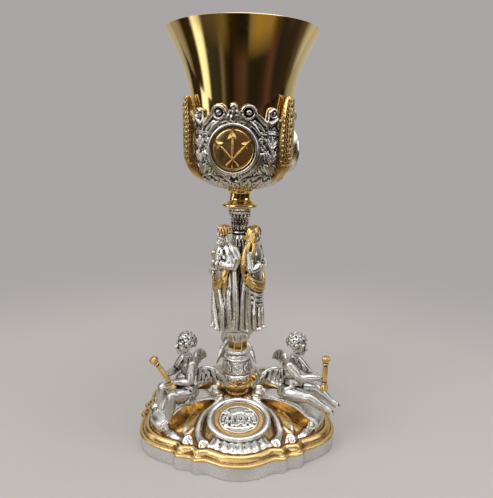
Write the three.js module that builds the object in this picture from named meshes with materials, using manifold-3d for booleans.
// A silver and gilt chalice: a flared gilt cup in a silver calyx, a stem of three robed figures round a
// column, a two-part knop, and a lobed foot with three oval medallions and three seated winged children.
// Millimetres, +Z up. Every ornament is drawn as if it stood at the front, on the -Y side, and its mesh
// is then turned about Z, so in its own code x is left and right, -y points outwards and z is up.
import * as THREE from "three";
import { mergeVertices } from "three/addons/utils/BufferGeometryUtils.js";
import Module from "manifold-3d";

const wasm = await Module();
wasm.setup();

// Driving dimensions
const seatGap = 0.3; // left between pieces that are shaped to each other
const repeats = 3; // medallions, seated children, figures and wheat sheaves round the axis
const calyxTurn = -10.6; // the cup and calyx are screwed on a little past square
const stemTurn = -2.6; // and so is the stem with its figures

const footRadius = 73;
const bandHeight = 9.2;
const shoulderHeight = 15;
const shoulderInset = 5.5;
const footTopHeight = 26;
const footTopRadius = 12;

const bowlHeight = 11;
const bowlLipRadius = 13.4;
const bowlBaseRadius = 8.6;
const bowlWall = 0.9;
const capSeatDepth = 3.4; // how far the silver cap sits down in the gilt bowl
const capHeight = 28.4;
const capRadius = bowlLipRadius - bowlWall - seatGap;
const capTopRadius = 8.2;
const collarHeight = 6.8;
const collarRadius = 7.8;
const standHeight = 11.2;
const standRadius = 14.6;

const columnHeight = 88.5;
const shaftRadius = 5.4;
const capitalHeight = 17;
const capitalRadius = 8.3;
const figureHeight = 76.5;
const figureReach = 10.8; // from the axis to the middle of a figure

const flangeRadius = 13.3;
const flangeHeight = 5;
const neckRadius = 8;
const neckHeight = 9;

const cupHeight = 101.4; // from the underside of the cup to the lip
const cupBowlDepth = 24;
const cupBowlRadius = 33;
const lipRadius = 51.3;
const cupWall = 1.2;
const calyxFloor = 2.1;
const calyxWall = 2.3;
const calyxHeight = 56; // from the underside of the calyx to its highest scroll
const bossRadius = 14;
const bossRimWidth = 2.3;
const bossRimProud = 2.6;
const bossRise = 27.4; // of the boss's middle above the underside of the calyx
const sheafHeight = 61;
const sheafWidth = 11.4;
const sheafProud = 5.2;

const seatHeight = 32;
const childHeight = 51; // from the seat to the crown of the head
const childReach = 44;
const medallionHalfWidth = 22.4;
const medallionHalfLength = 19;
const medallionSetback = 32.5; // from the edge of the foot in to the medallion's middle
const medallionSlope = 19;

// Heights of the stack, each piece standing on the one below
const bowlBase = footTopHeight;
const bowlLip = bowlBase + bowlHeight;
const capBase = bowlLip - capSeatDepth;
const collarBase = capBase + capHeight;
const standBase = collarBase + collarHeight;
const standTop = standBase + standHeight;
const flangeBase = standTop + columnHeight;
const neckTop = flangeBase + flangeHeight + neckHeight;
const cupBase = neckTop + calyxFloor + seatGap;

const radians = THREE.MathUtils.degToRad;
const at = (x, y, z) => new THREE.Vector3(x, y, z);
const mix = THREE.MathUtils.lerp;

const silver = new THREE.MeshStandardMaterial({ color: 0xc9c8c4, roughness: 0.28, metalness: 1 });
const darkSilver = new THREE.MeshStandardMaterial({ color: 0x8d8d89, roughness: 0.4, metalness: 1 });
const gilt = new THREE.MeshStandardMaterial({ color: 0xb98a3a, roughness: 0.3, metalness: 1 });
const polishedGilt = new THREE.MeshStandardMaterial({ color: 0xc7a04e, roughness: 0.08, metalness: 1 });

// A closed geometry as a solid that can be joined and cut, and a solid as a geometry again.
function solidOf(geometry) {
  const bare = geometry.clone();
  bare.deleteAttribute("normal");
  bare.deleteAttribute("uv");
  const shared = mergeVertices(bare, 1e-4);
  return new wasm.Manifold(new wasm.Mesh({
    numProp: 3,
    vertProperties: new Float32Array(shared.attributes.position.array),
    triVerts: new Uint32Array(shared.index.array),
  }));
}

function geometryOf(solid) {
  const mesh = solid.getMesh();
  const geometry = new THREE.BufferGeometry();
  geometry.setAttribute("position", new THREE.BufferAttribute(mesh.vertProperties, 3));
  geometry.setIndex(new THREE.BufferAttribute(mesh.triVerts, 1));
  geometry.computeVertexNormals();
  return geometry;
}

const join = (...pieces) =>
  geometryOf(pieces.flat().map(solidOf).reduce((whole, piece) => whole.add(piece)));
const cut = (piece, tool) => geometryOf(solidOf(piece).subtract(solidOf(tool)));
const turnedTo = (geometry, azimuth) => geometry.clone().rotateZ(radians(azimuth));
const aroundAxis = (geometry, start = 0) =>
  Array.from({ length: repeats }, (_, i) => turnedTo(geometry, start + (i * 360) / repeats));

// A closed skin over rings of points that have the same count, from the first ring to the last.
function skin(rings) {
  const positions = [];
  const triangles = [];
  const count = rings[0].length;
  const middle = (ring) => ring.reduce((sum, p) => sum.add(p), at(0, 0, 0)).divideScalar(count);
  for (const ring of rings) ring.forEach((p) => positions.push(p.x, p.y, p.z));
  for (const end of [rings[0], rings.at(-1)]) positions.push(...middle(end).toArray());
  const first = rings.length * count;
  for (let j = 0; j < count; j++) {
    const next = (j + 1) % count;
    triangles.push(first, next, j);
    triangles.push(first + 1, first - count + j, first - count + next);
    for (let i = 0; i + 1 < rings.length; i++) {
      const low = i * count;
      const high = low + count;
      triangles.push(low + j, low + next, high + next, low + j, high + next, high + j);
    }
  }
  const geometry = new THREE.BufferGeometry();
  geometry.setAttribute("position", new THREE.Float32BufferAttribute(positions, 3));
  geometry.setIndex(triangles);
  return geometry;
}

// A ring of points round the axis: azimuth 0 is the front, and radius and height may depend on it.
function ringOf(azimuths, radiusAt, heightAt) {
  return azimuths.map((azimuth) => {
    const radius = radiusAt(azimuth);
    const angle = radians(azimuth);
    return at(radius * Math.sin(angle), -radius * Math.cos(angle), heightAt(azimuth));
  });
}

const evenAzimuths = (count) => Array.from({ length: count }, (_, i) => (i * 360) / count);

// A turned body from its profile of [radius, height] pairs, which starts and ends on the axis.
function turned(profile, segments, start = 0) {
  const points = profile.map(([radius, height]) => new THREE.Vector2(radius, height));
  return new THREE.LatheGeometry(points, segments, radians(start)).rotateX(Math.PI / 2);
}

function ball(centre, radii, detail = 0, tilt = 0) {
  return new THREE.IcosahedronGeometry(1, detail).scale(...radii).rotateX(radians(tilt))
    .translate(centre.x, centre.y, centre.z);
}

// A limb or bar: a round skin through the points, with a radius at each of them.
function rod(points, radii, sides = 5) {
  const steps = points.slice(1).map((point, i) => point.clone().sub(points[i]).normalize());
  let along = at(0, 0, 1);
  const turn = new THREE.Quaternion();
  return skin(points.map((point, i) => {
    const next = steps[Math.max(i - 1, 0)].clone().add(steps[Math.min(i, steps.length - 1)]).normalize();
    turn.premultiply(new THREE.Quaternion().setFromUnitVectors(along, next));
    along = next;
    return evenAzimuths(sides).map((azimuth) =>
      at(Math.cos(radians(azimuth)), Math.sin(radians(azimuth)), 0)
        .multiplyScalar(radii[i] ?? radii[0]).applyQuaternion(turn).add(point));
  }));
}

// A flat outline in the x-z plane, as thick as given and centred on y = 0.
function slab(shape, thickness, curveSegments = 3) {
  return new THREE.ExtrudeGeometry(shape, { depth: thickness, bevelEnabled: false, curveSegments })
    .translate(0, 0, -thickness / 2).rotateX(Math.PI / 2);
}

// A value read off a list of [position, value] knots, straight between them.
function between(knots, position) {
  const next = knots.findIndex(([place]) => place >= position);
  if (next === 0) return knots[0][1];
  if (next < 0) return knots.at(-1)[1];
  const [fromPlace, fromValue] = knots[next - 1];
  const [toPlace, toValue] = knots[next];
  return mix(fromValue, toValue, (position - fromPlace) / (toPlace - fromPlace));
}

// Outlines that repeat round the axis are given for half a sector, from a medallion or boss at 0 to a
// seated child or sheaf at 60, and mirrored about both.
const sector = 360 / repeats;
function folded(azimuth) {
  const inside = ((azimuth % sector) + sector) % sector;
  return Math.min(inside, sector - inside);
}
function azimuthsOf(knots) {
  const places = knots.map(([place]) => place);
  const back = places.slice(1, -1).reverse().map((place) => sector - place);
  return Array.from({ length: repeats }, (_, i) => i * sector)
    .flatMap((start) => [...places, ...back].map((place) => start + place));
}

// The foot's outline as shares of its radius: a bowed lobe at the medallion, two small sharp corners,
// and a wide round lobe under the seated child.
const outlineKnots = [
  [0, 1], [10, 0.983], [18.5, 0.942], [24, 0.985], [27.5, 0.948], [35.5, 1], [38.5, 0.965],
  [45, 1], [52, 1.037], [60, 1.055],
];
const footAzimuths = azimuthsOf(outlineKnots);
const outlineAt = (azimuth) => footRadius * between(outlineKnots, folded(azimuth));
const shoulderAt = (azimuth) => outlineAt(azimuth) - shoulderInset;

// The ground of the foot, by share of the way out from its top to its shoulder.
const groundKnots = [
  [0, footTopHeight], [0.12, footTopHeight + 2], [0.5, 21.4], [1, shoulderHeight],
];
function onGround(azimuth, radius, lift = 0) {
  const share = (radius - footTopRadius) / (shoulderAt(azimuth) - footTopRadius);
  const angle = radians(azimuth);
  return at(radius * Math.sin(angle), -radius * Math.cos(angle), between(groundKnots, share) + lift);
}

// The S-shaped bracket that a child sits on, with a volute at its outer end.
const bracketWidth = 13;
const voluteReach = 65;
const voluteRadius = 4.6;
function bracket() {
  const voluteHeight = shoulderHeight + voluteRadius * 0.5;
  const shape = new THREE.Shape();
  shape.moveTo(footTopRadius + 6, footTopHeight - 6);
  shape.lineTo(footTopRadius + 6, footTopHeight + 3);
  shape.quadraticCurveTo(childReach - 16, seatHeight, childReach - 6, seatHeight);
  shape.lineTo(childReach + 4, seatHeight);
  shape.quadraticCurveTo(voluteReach - 8, seatHeight - 8, voluteReach, voluteHeight + voluteRadius);
  shape.absarc(voluteReach, voluteHeight, voluteRadius, Math.PI * 0.35, -Math.PI * 0.6, true);
  shape.lineTo(childReach, shoulderHeight);
  shape.closePath();
  const body = slab(shape, bracketWidth, 4).rotateZ(-Math.PI / 2);
  const eye = rod([-1, 1].map((side) => at(side * (bracketWidth / 2 + 1.2), -voluteReach, voluteHeight)), [2.4]);
  return join(body, eye);
}

// The silver scroll bar that runs down beside a medallion and ends in volutes at the two corners. Its
// points are set off from the medallion's widest and outermost edges.
const medallionReach = footRadius - medallionSetback;
function scrollBar(side) {
  const beside = (across, along, lift) => {
    const x = medallionHalfWidth + across;
    const reach = medallionReach + along;
    return onGround(side * THREE.MathUtils.radToDeg(Math.atan2(x, reach)), Math.hypot(x, reach), lift);
  };
  const path = [[-8.8, -medallionHalfLength - 6.9], [1.1, -8.1], [4.8, 10.7]].map(([across, along]) =>
    beside(across, along, 0.6));
  const volute = (across, along) => ball(beside(across, along, 0.4), [3.8, 3.8, 3.2]);
  return [rod(path, [2], 4), volute(2.8, 16.1), volute(12.8, 11.7)];
}

// A point on the sloping oval face of a medallion, from its middle: left and right, up, and outwards.
const faceSlope = radians(medallionSlope);
const faceThickness = 3.2;
const faceHeight = onGround(0, medallionReach).z + faceThickness;
function onFace(x, up, lift) {
  const reach = medallionReach - up * Math.cos(faceSlope) + lift * Math.sin(faceSlope);
  return at(x, -reach, faceHeight + up * Math.sin(faceSlope) + lift * Math.cos(faceSlope));
}
function onOval(angle, inset, lift) {
  const turn = radians(angle);
  return onFace((medallionHalfWidth - inset) * Math.sin(turn),
    -(medallionHalfLength - inset) * Math.cos(turn), lift);
}

// The foot's ground as rings, from its shoulder in to its top.
const groundRings = (lift) => [...groundKnots].reverse().map(([share, height]) =>
  ringOf(footAzimuths, (a) => mix(footTopRadius, shoulderAt(a), share), () => height + lift));

function makeFoot() {
  const moulding = [
    [0, 0], [0, bandHeight], [-0.6, bandHeight + 1], [2.4, bandHeight + 3],
  ].map(([inset, height]) => ringOf(footAzimuths, (a) => outlineAt(a) - inset, () => height));
  const ground = groundRings(0);
  const scrolls = [-1, 1].flatMap((side) => scrollBar(side));
  return join(skin([...moulding, ...ground]), aroundAxis(bracket(), sector / 2),
    scrolls.flatMap((piece) => aroundAxis(piece)));
}

// An oval medallion: a raised frame round a recessed field with a few figures in low relief. It is cut
// to the ground of the foot underneath.
function makeMedallion() {
  const frameWidth = 3.6;
  const angles = evenAzimuths(14);
  const oval = (inset, lift) => angles.map((angle) => onOval(angle, inset, lift));
  const block = skin([
    oval(0, -faceThickness * 3), oval(0, 0), oval(frameWidth * 0.5, 1.3), oval(frameWidth + 0.6, -0.7),
  ]);
  const belowGround = footAzimuths.map((a) => onGround(a, shoulderAt(a), -shoulderHeight));
  const body = cut(block, skin([belowGround, ...groundRings(seatGap)]));
  const group = [[-5, 0, 3.6, 5], [4, 1, 3.6, 7]];
  const relief = group.map(([x, up, halfWidth, halfHeight]) =>
    new THREE.IcosahedronGeometry(1, 0).scale(halfWidth, halfHeight, 1.4).rotateX(faceSlope)
      .translate(...onFace(x, up, -0.6).toArray()));
  return join(body, relief);
}

// The gilt bowl of the knop, with a waving lip that rises to three scrolled handles.
function makeKnopBowl() {
  const azimuths = evenAzimuths(18);
  const wave = (azimuth) => 1.5 - 1.5 * Math.cos(radians(azimuth * repeats));
  const round = (radius, height, waving = 0) =>
    ringOf(azimuths, () => radius, (a) => height + waving * wave(a));
  const innerRadius = bowlLipRadius - bowlWall;
  const body = skin([
    round(bowlBaseRadius, bowlBase), round(bowlBaseRadius * 0.9, bowlBase + 2.2),
    round(bowlLipRadius * 0.93, bowlBase + 6.4), round(bowlLipRadius, bowlLip, 1),
    round(innerRadius, bowlLip + 0.3, 1), round(innerRadius, capBase),
  ]);
  const curlRadius = 2.3;
  const curlReach = innerRadius + curlRadius + 0.1;
  const curl = rod([-3, 3].map((x) => at(x, -curlReach, bowlLip + 3)), [curlRadius], 7);
  return join(body, aroundAxis(curl, sector / 2));
}

// The silver cap of the knop: a domed bell with turned rings.
function makeKnopCap() {
  return turned([
    [0, capBase], [capRadius, capBase], [capRadius, bowlLip + 4.4], [capRadius * 0.92, bowlLip + 8.6],
    [capTopRadius + 1.8, collarBase - 7.6],
    [capTopRadius, collarBase - 5.4], [capTopRadius, collarBase - 3.4],
    [capTopRadius + 1.4, collarBase - 1.8], [capTopRadius, collarBase], [0, collarBase],
  ], 14);
}

const collarFacets = 8;
const makeCollar = () => turned([
  [0, collarBase], [collarRadius, collarBase], [collarRadius * 0.94, collarBase + 1.2],
  [collarRadius * 0.94, standBase - 1.2], [collarRadius, standBase], [0, standBase],
], collarFacets, 180 / collarFacets);

// The silver stand of the figures: a scalloped shelf on a ring of hanging leaves.
function makeStand() {
  const azimuths = evenAzimuths(24);
  const lobes = repeats * 2;
  const shelf = (share, height, depth = 0.045) => ringOf(azimuths,
    (a) => standRadius * share * (1 - depth * Math.cos(radians(a * lobes))), () => height);
  const leaves = (share, height, depth) => shelf(share, height, -depth);
  return skin([
    ringOf(azimuths, () => collarRadius, () => standBase), leaves(0.62, standBase + 2.4, 0.1),
    leaves(0.86, standTop - 4.6, 0.08), shelf(0.95, standTop - 3.2), shelf(1, standTop - 1), shelf(0.95, standTop),
  ]);
}

// The column behind the figures, with a moulded necking and a flaring capital.
const capitalBase = flangeBase - capitalHeight;
const makeColumn = () => turned([
  [0, standTop], [shaftRadius, standTop], [shaftRadius, capitalBase - 2],
  [shaftRadius + 0.8, capitalBase - 1.4], [shaftRadius + 0.8, capitalBase], [shaftRadius + 0.2, capitalBase + 0.8],
  [mix(shaftRadius, capitalRadius, 0.35), capitalBase + capitalHeight * 0.5],
  [capitalRadius, flangeBase - 1], [capitalRadius, flangeBase], [0, flangeBase],
], 12);

// A body or robe as a stack of oval sections. Each row gives, in shares of the whole height: how high
// it is, half its width and depth, its place to the side and forward, and how deep its folds are.
function stack(rows, around, placeOf, foldCount = 0) {
  return skin(rows.map(([up, halfWidth, halfDepth, x, forward, folds = 0]) =>
    evenAzimuths(around).map((azimuth) => {
      const angle = radians(azimuth);
      const swell = 1 + folds * Math.cos(foldCount * angle + up * 3);
      return placeOf(x + halfWidth * swell * Math.sin(angle),
        forward + halfDepth * swell * Math.cos(angle), up);
    })));
}

// A point of a standing figure, in shares of its height. Nothing reaches back into the column.
const flatBack = shaftRadius + 0.8 + seatGap;
const ofFigure = (x, forward, up) => at(figureHeight * x,
  -Math.max(flatBack, figureReach + figureHeight * forward), standTop + figureHeight * up);

// The robe and head of a figure, with the head turned or leaning a little to one side.
const robe = (sway, lean, hair) => stack([
  [0, 0.12, 0.105, 0, 0, 0.12], [0.22, 0.106, 0.09, sway * 0.6, 0, 0.1],
  [0.44, 0.114, 0.096, sway, 0.004, 0.05], [0.74, 0.11, 0.086, 0, 0.008], [0.815, 0.09, 0.06, lean * 0.2, 0.004], [0.86, 0.034, 0.036, lean * 0.7, 0.012],
  [0.93, hair, hair, lean, 0.02], [0.97, hair * 0.86, hair * 0.86, lean, 0.014],
  [1, hair * 0.4, hair * 0.4, lean, 0.008],
], 11, ofFigure, 4);

function armOf(shoulder, elbow, hand, sleeve = 1) {
  const thick = figureHeight * 0.036 * sleeve;
  return rod([shoulder, elbow, hand], [thick, thick, thick * 0.6]);
}

// The left figure carries an infant on one arm and a staff in the other, and wears a looped mantle.
function makeInfantBearer() {
  return join(
    robe(0.012, -0.03, 0.052),
    ball(ofFigure(0.055, 0.12, 0.84), [3, 3.1, 3.4]),
    rod([ofFigure(0.05, 0.12, 0.82), ofFigure(0.035, 0.12, 0.67)], [3, 3.6]),
    armOf(ofFigure(-0.09, 0, 0.77), ofFigure(-0.15, 0.06, 0.55), ofFigure(-0.06, 0.13, 0.5)),
    armOf(ofFigure(0.09, 0, 0.78), ofFigure(0.12, 0.07, 0.64), ofFigure(0.02, 0.14, 0.655)),
    rod([ofFigure(-0.13, 0.08, 0.6), ofFigure(-0.1, 0.06, 0.012)], [1], 4),
    rod([ofFigure(0.07, 0.08, 0.66), ofFigure(0.02, 0.1, 0.5), ofFigure(-0.06, 0.09, 0.42),
      ofFigure(-0.105, 0.05, 0.5)], [1.9], 4),
  );
}

// The right figure is a veiled woman with folded hands and a sash across the hips.
function makeVeiledWoman() {
  return join(
    robe(-0.01, 0.012, 0.062),
    [-1, 1].map((side) => rod([ofFigure(side * 0.045, 0.01, 0.93), ofFigure(side * 0.09, 0.02, 0.65)], [2.6], 4)),
    armOf(ofFigure(-0.09, 0, 0.77), ofFigure(-0.125, 0.05, 0.63), ofFigure(0, 0.15, 0.68), 1.15),
    armOf(ofFigure(0.09, 0, 0.77), ofFigure(0.125, 0.05, 0.63), ofFigure(0.02, 0.15, 0.69), 1.15),
    rod([ofFigure(-0.11, 0.03, 0.58), ofFigure(-0.05, 0.09, 0.5), ofFigure(0.04, 0.09, 0.48),
      ofFigure(0.11, 0.04, 0.55)], [2.5], 4),
  );
}

// The figure at the back is plain, with a book held against the chest.
function makeBookBearer() {
  return join(
    robe(0, 0, 0.05),
    armOf(ofFigure(-0.09, 0, 0.78), ofFigure(-0.135, 0.03, 0.61), ofFigure(-0.03, 0.13, 0.63)),
    armOf(ofFigure(0.09, 0, 0.78), ofFigure(0.135, 0.03, 0.61), ofFigure(0.04, 0.12, 0.58)),
    new THREE.BoxGeometry(6.4, 2.6, 8.4).rotateY(0.25).translate(...ofFigure(0.005, 0.13, 0.66).toArray()),
  );
}

// The gilt flange and the neck above it, turned in one.
const makeNeck = () => turned([
  [0, flangeBase], [flangeRadius * 0.72, flangeBase], [flangeRadius, flangeBase + 1.6],
  [flangeRadius, flangeBase + 3.2], [neckRadius * 1.15, flangeBase + flangeHeight],
  [neckRadius, flangeBase + flangeHeight + 1.2], [neckRadius, neckTop], [0, neckTop],
], 16);

// Outside of the cup as [height, radius] knots: a round bottom, then a long flare to the lip.
const bowlShares = [0.014, 0.14, 0.42, 1];
const bowlSquareness = 2.5; // 2 is a plain ellipse
const cupProfile = [
  ...bowlShares.map((share) => [cupBase + share * cupBowlDepth,
    cupBowlRadius * (1 - (1 - share) ** bowlSquareness) ** (1 / bowlSquareness)]),
  ...[0.25, 0.45, 0.64, 0.83, 1].map((share) =>
    [cupBase + mix(cupBowlDepth, cupHeight, share), mix(cupBowlRadius, lipRadius, share ** 2.6)]),
];
const cupRadius = (height) => between(cupProfile, height);
function makeCup() {
  const outside = cupProfile.map(([height, radius]) => [radius, height]);
  const inside = cupProfile.slice(2).map(([height, radius]) => [radius - cupWall, height + cupWall * 0.2]);
  const lip = [lipRadius - 0.5, cupBase + cupHeight + 0.4];
  return turned([[0, cupBase], ...outside, lip, ...inside.reverse(), [0, cupBase + cupWall * 2]], 24);
}

// Height of the calyx's edge: a finial over the boss, a big volute, a dip, and a small volute by the sheaf.
const edgeKnots = [
  [0, 1], [6, 0.955], [15, 0.965], [23, 0.88], [32, 0.86], [41, 0.95], [60, 0.91],
];
const calyxAzimuths = azimuthsOf(edgeKnots);
const calyxProfile = [[neckTop, neckRadius + 5], ...cupProfile.slice(1).map(([height, radius]) => {
  const drop = Math.max(0, 1 - (height - cupBase) / cupBowlDepth) * calyxFloor;
  return [height - drop, radius + seatGap + calyxWall];
})];
const calyxOutside = (height) => between(calyxProfile, height);

// The body of the calyx lies against the cup and is notched along its upper edge.
function calyxBody() {
  const edge = (azimuth) => neckTop + calyxHeight * between(edgeKnots, folded(azimuth));
  const level = (radius, height) => ringOf(calyxAzimuths, () => radius, () => height);
  const edgeRing = (offset) => ringOf(calyxAzimuths, (a) => cupRadius(edge(a)) + offset, edge);
  const bowl = cupProfile.slice(0, bowlShares.length);
  return skin([
    ...calyxProfile.slice(0, bowlShares.length).map(([height, radius]) => level(radius, height)),
    edgeRing(seatGap + calyxWall), edgeRing(seatGap),
    ...bowl.reverse().map(([height, radius]) => level(radius + seatGap, height - seatGap * 0.4)),
    level(3, cupBase - seatGap),
  ]);
}

// The round frame of a boss, standing out of the calyx with a flat pocket.
const bossHeight = neckTop + bossRise;
const bossFace = calyxOutside(bossHeight) + bossRimProud;
const pocketFace = calyxOutside(bossHeight) + 0.6;
function bossFrame() {
  const azimuths = evenAzimuths(12);
  const flat = (radius, reach) => azimuths.map((turn) =>
    at(radius * Math.sin(radians(turn)), -reach, bossHeight - radius * Math.cos(radians(turn))));
  const inWall = (radius) => flat(radius, 0).map((p) => {
    const middle = mix(cupRadius(p.z) + seatGap, calyxOutside(p.z), 0.6);
    return at(p.x, -Math.sqrt(middle * middle - p.x * p.x), p.z);
  });
  const outer = bossRadius + bossRimWidth;
  return skin([
    inWall(5), inWall(outer), flat(outer, bossFace - 0.8), flat(bossRadius + bossRimWidth * 0.45, bossFace),
    flat(bossRadius, pocketFace),
  ]);
}

function makeCalyx() {
  const scroll = (azimuth, share, radius, tilt = 0) => {
    const height = neckTop + calyxHeight * share;
    const reach = calyxOutside(height) + 0.5;
    return turnedTo(ball(at(0, -reach, height), [radius, 2, radius], 0, tilt), azimuth);
  };
  const bigScroll = 4.2;
  const smallScroll = 3.3;
  const scrolls = [-1, 1].flatMap((side) => [scroll(side * 15, 0.89, bigScroll), scroll(side * 42, 0.88, smallScroll)]);
  const leaf = scroll(0, 0.15, 4.4, 57);
  return join(calyxBody(), aroundAxis(bossFrame()), [leaf, ...scrolls].flatMap((piece) => aroundAxis(piece)));
}

// The gilt boss: a low dome with three crossed nails in relief.
function makeBoss() {
  const base = pocketFace + seatGap;
  const radius = bossRadius - seatGap;
  const dome = turned([[0, base], [radius, base], [radius, base + 0.8], [0, base + 2.6]], 14)
    .rotateX(Math.PI / 2).translate(0, 0, bossHeight);
  const crossing = -radius * 0.4;
  const nail = (lean) => {
    const shape = new THREE.Shape();
    shape.moveTo(0, -radius * 0.32);
    shape.lineTo(2.2, radius * 1.05);
    shape.lineTo(-2.2, radius * 1.05);
    shape.closePath();
    return slab(shape, 2.2).rotateY(radians(lean)).translate(0, -base - 1.5, bossHeight + crossing);
  };
  return join(dome, [-42, 0, 42].map(nail));
}

// A gilt sheaf of wheat that climbs the calyx between two bosses.
function makeSheaf() {
  const rows = 9;
  const low = neckTop + 6.5;
  return skin(Array.from({ length: rows }, (_, i) => {
    const share = i / (rows - 1);
    const height = mix(low, neckTop + sheafHeight, share);
    const swell = Math.sin(Math.PI * (0.1 + share * 0.82)) ** 0.45;
    const halfWidth = (sheafWidth / 2) * swell;
    const back = calyxOutside(height + 2.4) + seatGap;
    const proud = sheafProud * swell * (i % 2 ? 1 : 0.84);
    return [[-1, 0], [-1, 0.55], [-0.5, 0.9], [0, 0.8], [0.5, 0.9], [1, 0.55], [1, 0]].map(([x, out]) =>
      at(halfWidth * x, -(back + out * proud), height));
  }).map((ring) => ring.reverse()).reverse());
}

// A wing: a feathered outline swept back from the shoulder at the origin.
function wing(side) {
  const span = childHeight * 0.46;
  const shape = new THREE.Shape();
  shape.moveTo(-1, -1);
  shape.quadraticCurveTo(span * 0.25, span * 0.42, span * 0.75, span * 0.3);
  shape.quadraticCurveTo(span, span * 0.18, span, -span * 0.3);
  shape.lineTo(span * 0.8, -span * 0.2);
  shape.lineTo(span * 0.72, -span * 0.44);
  shape.lineTo(span * 0.54, -span * 0.26);
  shape.lineTo(span * 0.44, -span * 0.44);
  shape.lineTo(span * 0.2, -span * 0.24);
  shape.closePath();
  return slab(shape, 1.8, 2).rotateZ(radians(64 * side + (side < 0 ? 180 : 0)));
}

// Poses of the seated children, in shares of their height: left and right, forward, and up.
const reaching = {
  shoulder: 0.02, head: 0.084,
  arms: [[[-0.13, 0.03, 0.56], [-0.15, 0.2, 0.38], [-0.03, 0.46, 0.43]],
    [[0.13, 0.03, 0.56], [0.16, 0.2, 0.36], [0.03, 0.45, 0.37]]],
  legs: [[[-0.1, 0.02, 0.12], [-0.14, 0.35, 0.03], [-0.12, 0.56, -0.07]],
    [[0.1, 0.02, 0.12], [0.12, 0.38, 0.14], [0.1, 0.6, 0.02]]],
  baton: [[0, 0.5, 0.29], [0, 0.505, 0.675]],
};
const resting = {
  shoulder: -0.06, head: 0,
  arms: [[[-0.13, -0.04, 0.57], [-0.2, 0.06, 0.36], [-0.05, 0.28, 0.42]],
    [[0.13, -0.04, 0.57], [0.2, 0.04, 0.34], [0.03, 0.2, 0.31]]],
  legs: [[[-0.1, 0, 0.12], [-0.15, 0.3, 0.15], [-0.2, 0.33, -0.22]],
    [[0.1, 0, 0.12], [0.14, 0.3, 0.12], [0.2, 0.33, -0.24]]],
  baton: [[0, 0.2, 0.245], [-0.1, 0.42, 0.62]],
};
const ofChild = ([x, forward, up]) =>
  at(childHeight * x, -childReach - childHeight * forward, seatHeight + childHeight * up);
const batonRadius = 1.5;
const knobRadius = 2.6;

// A baton with a knob at each end. Its rod, grown a little, is the room that the hands leave for it.
const batonRod = ({ baton }, extra = 0) => rod(baton.map(ofChild), [batonRadius + extra], 4);
function makeBaton(pose) {
  const knobs = pose.baton.map(ofChild).map((end) => ball(end, [knobRadius, knobRadius, knobRadius]));
  return join(batonRod(pose), knobs);
}

function makeChild(pose) {
  const { shoulder, head, arms, legs } = pose;
  const torso = stack([
    [0.01, 0.11, 0.09, 0, 0], [0.1, 0.15, 0.14, 0, 0], [0.26, 0.135, 0.135, 0, shoulder * 0.4],
    [0.48, 0.145, 0.105, 0, shoulder], [0.6, 0.085, 0.07, 0, shoulder],
    [0.66, 0.06, 0.06, 0, mix(shoulder, head, 0.6)], [0.73, 0.11, 0.115, 0, head],
    [0.86, 0.158, 0.155, 0, head - 0.01], [0.96, 0.12, 0.12, 0, head - 0.02], [1, 0.05, 0.05, 0, head - 0.02],
  ], 7, (x, forward, up) => ofChild([x, forward, up]));
  const size = (share) => childHeight * share;
  const armRods = arms.map((arm) => rod(arm.map(ofChild), [0.055, 0.047, 0.036].map(size)));
  const legRods = legs.map((leg) => {
    const ankle = leg.at(-1);
    const toe = [ankle[0], ankle[1] + 0.1, ankle[2] - 0.05];
    return rod([...leg, toe].map(ofChild), [0.095, 0.07, 0.04, 0.03].map(size));
  });
  const wings = [-1, 1].map((side) =>
    wing(side).translate(...ofChild([side * 0.05, shoulder - 0.1, 0.5]).toArray()));
  return cut(join(torso, armRods, legRods, wings), batonRod(pose, seatGap));
}

const chalice = new THREE.Group();
chalice.name = "chalice";

function place(name, geometry, finish, azimuth = 0) {
  const mesh = new THREE.Mesh(geometry, finish);
  mesh.name = name;
  mesh.rotation.z = radians(azimuth);
  chalice.add(mesh);
}

place("foot", makeFoot(), gilt);
const medallion = makeMedallion();
const poses = [reaching, resting, resting];
for (let i = 0; i < repeats; i++) {
  const childAzimuth = (i + 0.5) * sector;
  place(`foot_medallion_${i + 1}`, medallion, silver, i * sector);
  place(`winged_child_${i + 1}`, makeChild(poses[i]), silver, childAzimuth);
  place(`child_baton_${i + 1}`, makeBaton(poses[i]), gilt, childAzimuth);
}

place("knop_bowl", makeKnopBowl(), gilt);
place("knop_cap", makeKnopCap(), silver);
place("collar", makeCollar(), polishedGilt);
place("figure_stand", makeStand(), silver, stemTurn);
place("column", makeColumn(), darkSilver, stemTurn);
place("figure_infant_bearer", makeInfantBearer(), silver, stemTurn - sector / 2);
place("figure_veiled_woman", makeVeiledWoman(), silver, stemTurn + sector / 2);
place("figure_book_bearer", makeBookBearer(), silver, stemTurn + 1.5 * sector);
place("neck", makeNeck(), polishedGilt);

place("calyx", makeCalyx(), silver, calyxTurn);
const boss = makeBoss();
const sheaf = makeSheaf();
for (let i = 0; i < repeats; i++) {
  place(`calyx_boss_${i + 1}`, boss, gilt, calyxTurn + i * sector);
  place(`wheat_sheaf_${i + 1}`, sheaf, gilt, calyxTurn + (i + 0.5) * sector);
}
place("cup", makeCup(), polishedGilt, calyxTurn);

export default chalice;
